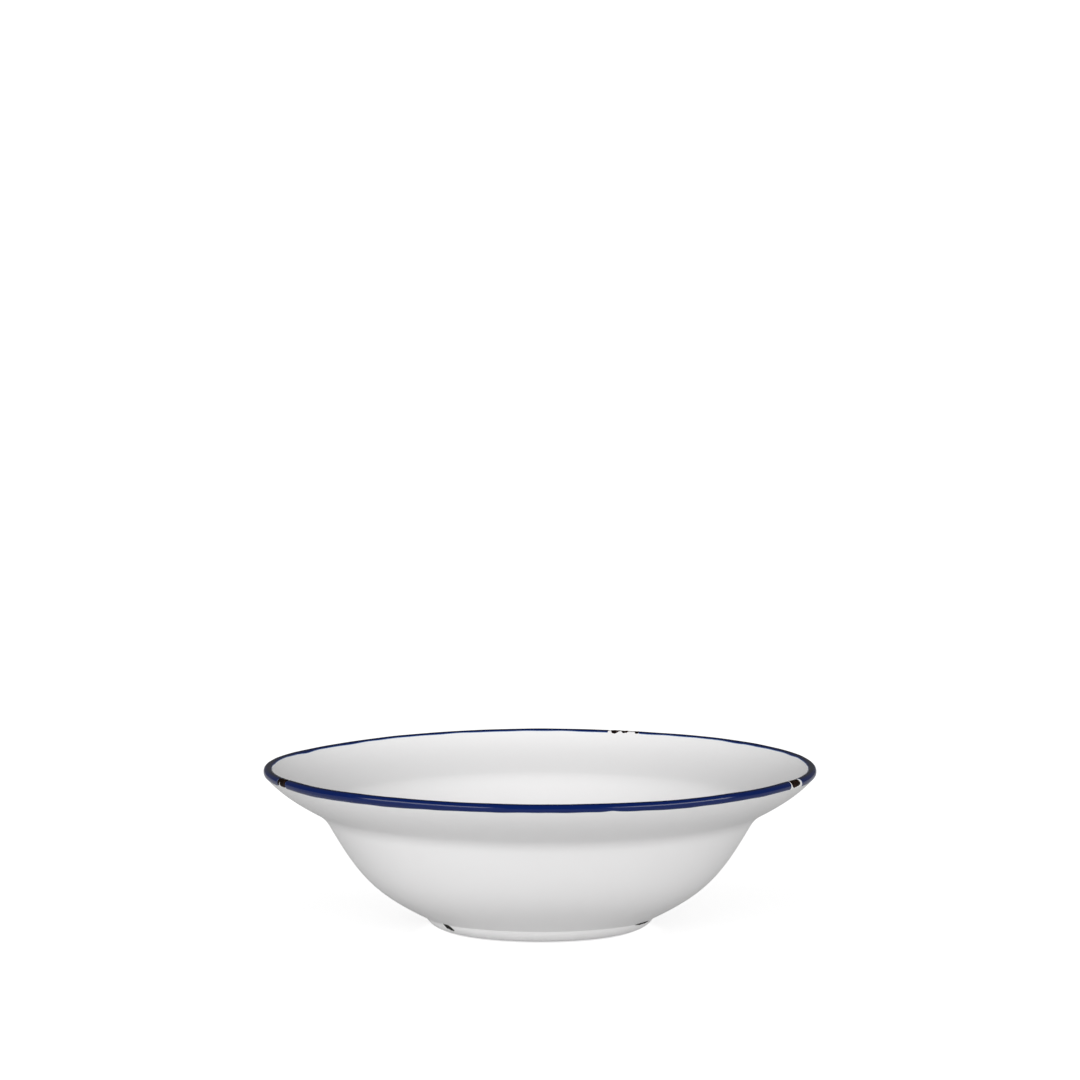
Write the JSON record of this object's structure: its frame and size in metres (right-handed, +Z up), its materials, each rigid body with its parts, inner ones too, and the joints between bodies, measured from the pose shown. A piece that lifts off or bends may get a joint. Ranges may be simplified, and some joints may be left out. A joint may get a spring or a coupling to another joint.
{
  "type": "low bowl",
  "caption": "Low round ceramic bowl with a wide rising flange, soft shoulder, rounded well and foot ring, white glazed with a chipped-look blue rim, for soup, salad or pasta.",
  "frame": {"origin": "centre of the ring that the bowl stands on, at table level", "axes": "+Z up along the bowl's axis of revolution, -Y towards the front view of the picture, +X to its right"},
  "size_m": [0.2, 0.2, 0.0595],
  "materials": {
    "clay": "bare fired clay, matt",
    "white_glaze": "gloss",
    "blue_glaze": "gloss",
    "brown_chip": "rough satin",
    "black_chip": "satin"
  },
  "bodies": {
    "root": {"bowl_body": "clay", "foot_ring": "clay", "inside_glaze": "white_glaze", "outside_glaze": "white_glaze", "base_glaze": "white_glaze", "rim_glaze_front": "blue_glaze", "rim_glaze_right": "blue_glaze", "rim_glaze_left": "blue_glaze", "rim_chip_back": "brown_chip", "rim_chip_right": "brown_chip", "rim_chip_left": "brown_chip", "foot_chip_left": "black_chip", "foot_chip_right": "black_chip"}
  },
  "joints": []
}
